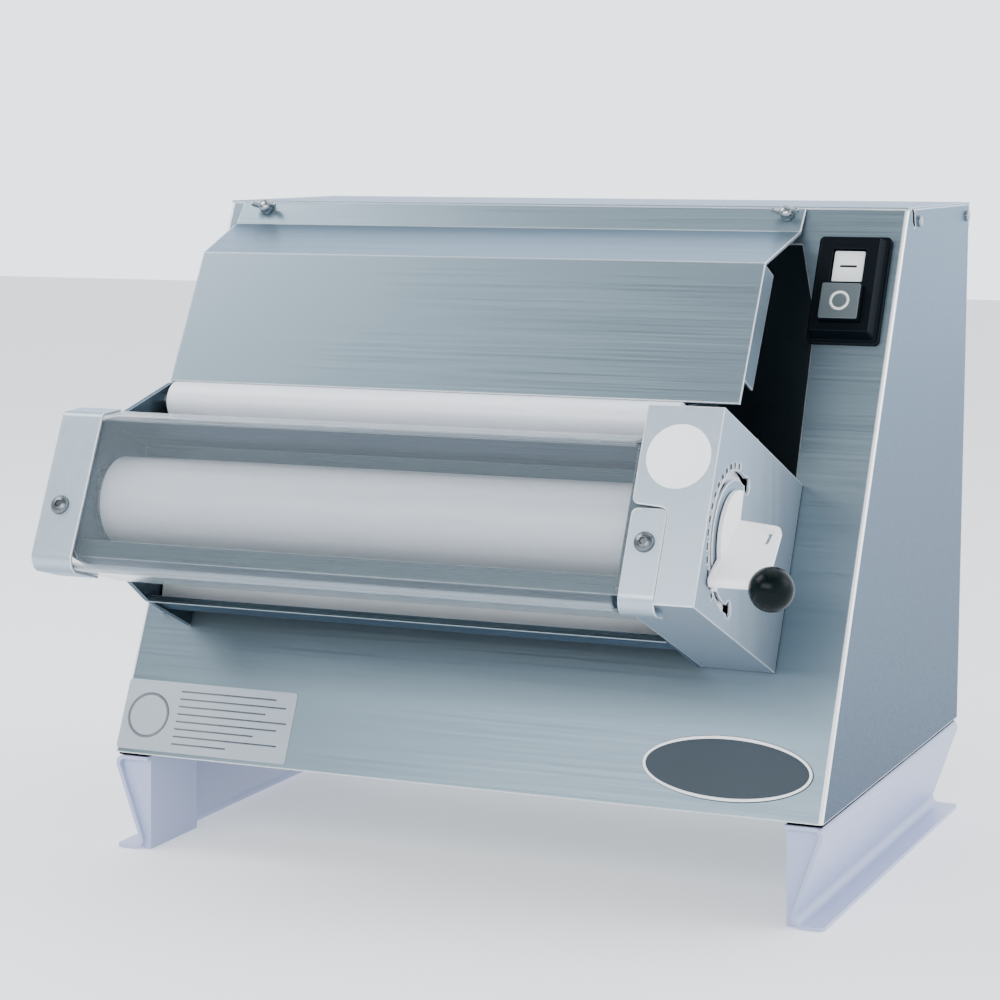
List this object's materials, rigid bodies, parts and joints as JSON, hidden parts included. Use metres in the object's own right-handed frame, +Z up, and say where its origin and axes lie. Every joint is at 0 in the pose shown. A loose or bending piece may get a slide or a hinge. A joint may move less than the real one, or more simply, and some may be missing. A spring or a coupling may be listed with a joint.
{
  "type": "dough sheeter",
  "caption": "Countertop dough sheeter with white rollers, a clear guard, a slanted stainless body on bent feet and a thickness lever with a black ball knob.",
  "frame": {"origin": "bottom centre of the machine, on the surface it stands on", "axes": "+Z up, the operator stands at -Y, +X is the operator's right"},
  "size_m": [0.4901, 0.4473, 0.4206],
  "materials": {
    "stainless": "fine brushed stainless sheet",
    "plated_steel": "ground steel",
    "foot_paint": "satin light grey powder coat",
    "rubber_pad": "black rubber",
    "roller_plastic": "satin white food plastic",
    "clear_guard": "clear polycarbonate sheet",
    "lever_plate": "white coated steel",
    "knob_plastic": "polished black phenolic",
    "bush_bronze": "sintered bronze",
    "gear_plastic": "off-white nylon",
    "motor_cast": "cast aluminium",
    "chain_steel": "oiled steel",
    "switch_black": "moulded black plastic",
    "button_white": "white moulded plastic",
    "button_grey": "grey moulded plastic",
    "box_plastic": "grey moulded plastic",
    "scraper_plastic": "white plastic blade",
    "disc_white": "white plate",
    "label_silver": "matt silver plate",
    "badge_enamel": "plain slate enamel"
  },
  "bodies": {
    "body": {"base_plate": "stainless", "casing_shell": "stainless", "top_cover": "stainless", "rear_cover": "stainless", "casing_screws": "plated_steel", "left_foot": "foot_paint", "right_foot": "foot_paint", "foot_pads": "rubber_pad", "foot_screws": "plated_steel", "chute_plate": "stainless", "wing_screws": "plated_steel", "hopper_ramp": "stainless", "left_cheek": "stainless", "right_cheek": "stainless", "cheek_bolts": "plated_steel", "lower_beam": "stainless", "exit_deflector": "stainless", "rear_roller_bushes": "bush_bronze", "guide_roller_axle": "plated_steel", "front_scraper": "scraper_plastic", "rear_scraper": "scraper_plastic", "gear_cover": "stainless", "left_end_cover": "stainless", "sync_shaft_bushes": "bush_bronze", "blank_disc": "disc_white", "guard_shield": "clear_guard", "left_guard_bracket": "stainless", "right_guard_bracket": "stainless", "guard_screws": "plated_steel", "motor": "motor_cast", "gearbox": "motor_cast", "drive_chain": "chain_steel", "switch_housing": "switch_black", "start_spring": "plated_steel", "stop_spring": "plated_steel", "control_box": "box_plastic", "cable_gland": "switch_black", "label_plate": "label_silver", "badge": "badge_enamel"},
    "front_carriage": {"left_carriage": "plated_steel", "right_carriage": "plated_steel", "front_roller_bearings": "bush_bronze"},
    "front_roller": {"front_roller_sleeve": "roller_plastic", "front_roller_core": "plated_steel", "front_roller_gear": "gear_plastic"},
    "rear_roller": {"rear_roller_sleeve": "roller_plastic", "rear_roller_shaft": "plated_steel", "rear_roller_gear": "gear_plastic", "driven_sprocket": "chain_steel"},
    "guide_roller": {"guide_roller_sleeve": "roller_plastic"},
    "thickness_control": {"thickness_lever": "lever_plate", "ball_knob": "knob_plastic", "right_cam": "plated_steel", "left_cam": "plated_steel", "sync_shaft": "plated_steel"},
    "motor_rotor": {"motor_rotor": "plated_steel"},
    "output": {"output_shaft": "plated_steel", "drive_sprocket": "chain_steel"},
    "start_button": {"start_button": "button_white"},
    "stop_button": {"stop_button": "button_grey"}
  },
  "joints": [
    {"name": "thickness_lever_turn", "type": "hinge", "parent": "body", "child": "thickness_control", "pos_m": [0, -0.15837, 0.23557], "axis": [-1, 0, 0], "range_deg": [-45.5, 150.5]},
    {"name": "front_roller_gap", "type": "slide", "parent": "body", "child": "front_carriage", "axis": [0, -1, 0], "range_m": [-0.00116, 0.00384]},
    {"name": "front_roller_spin", "type": "hinge", "parent": "front_carriage", "child": "front_roller", "pos_m": [0, -0.16201, 0.2384], "axis": [1, 0, 0], "continuous": true},
    {"name": "rear_roller_spin", "type": "hinge", "parent": "body", "child": "rear_roller", "pos_m": [0, -0.10495, 0.2384], "axis": [1, 0, 0], "continuous": true},
    {"name": "guide_roller_spin", "type": "hinge", "parent": "body", "child": "guide_roller", "pos_m": [0, -0.10132, 0.29543], "axis": [1, 0, 0], "continuous": true},
    {"name": "output_spin", "type": "hinge", "parent": "body", "child": "output", "pos_m": [0, 0.037, 0.17], "axis": [1, 0, 0], "continuous": true},
    {"name": "motor_spin", "type": "hinge", "parent": "body", "child": "motor_rotor", "pos_m": [0, 0.077, 0.145], "axis": [1, 0, 0], "continuous": true},
    {"name": "start_press", "type": "slide", "parent": "body", "child": "start_button", "axis": [0, 0.9041, -0.4274], "range_m": [0, 0.003], "stiffness_N_per_m": 600, "springref_m": -0.0005, "deforming": ["start_spring"]},
    {"name": "stop_press", "type": "slide", "parent": "body", "child": "stop_button", "axis": [0, 0.9041, -0.4274], "range_m": [0, 0.003], "stiffness_N_per_m": 600, "springref_m": -0.0005, "deforming": ["stop_spring"]}
  ],
  "couplings": [
    {"joint": "front_roller_gap", "follows": "thickness_lever_turn", "m_per_rad": 0.0014616},
    {"joint": "front_roller_spin", "follows": "rear_roller_spin", "ratio": -1},
    {"joint": "output_spin", "follows": "rear_roller_spin", "ratio": 1},
    {"joint": "motor_spin", "follows": "rear_roller_spin", "ratio": -6.8333}
  ]
}
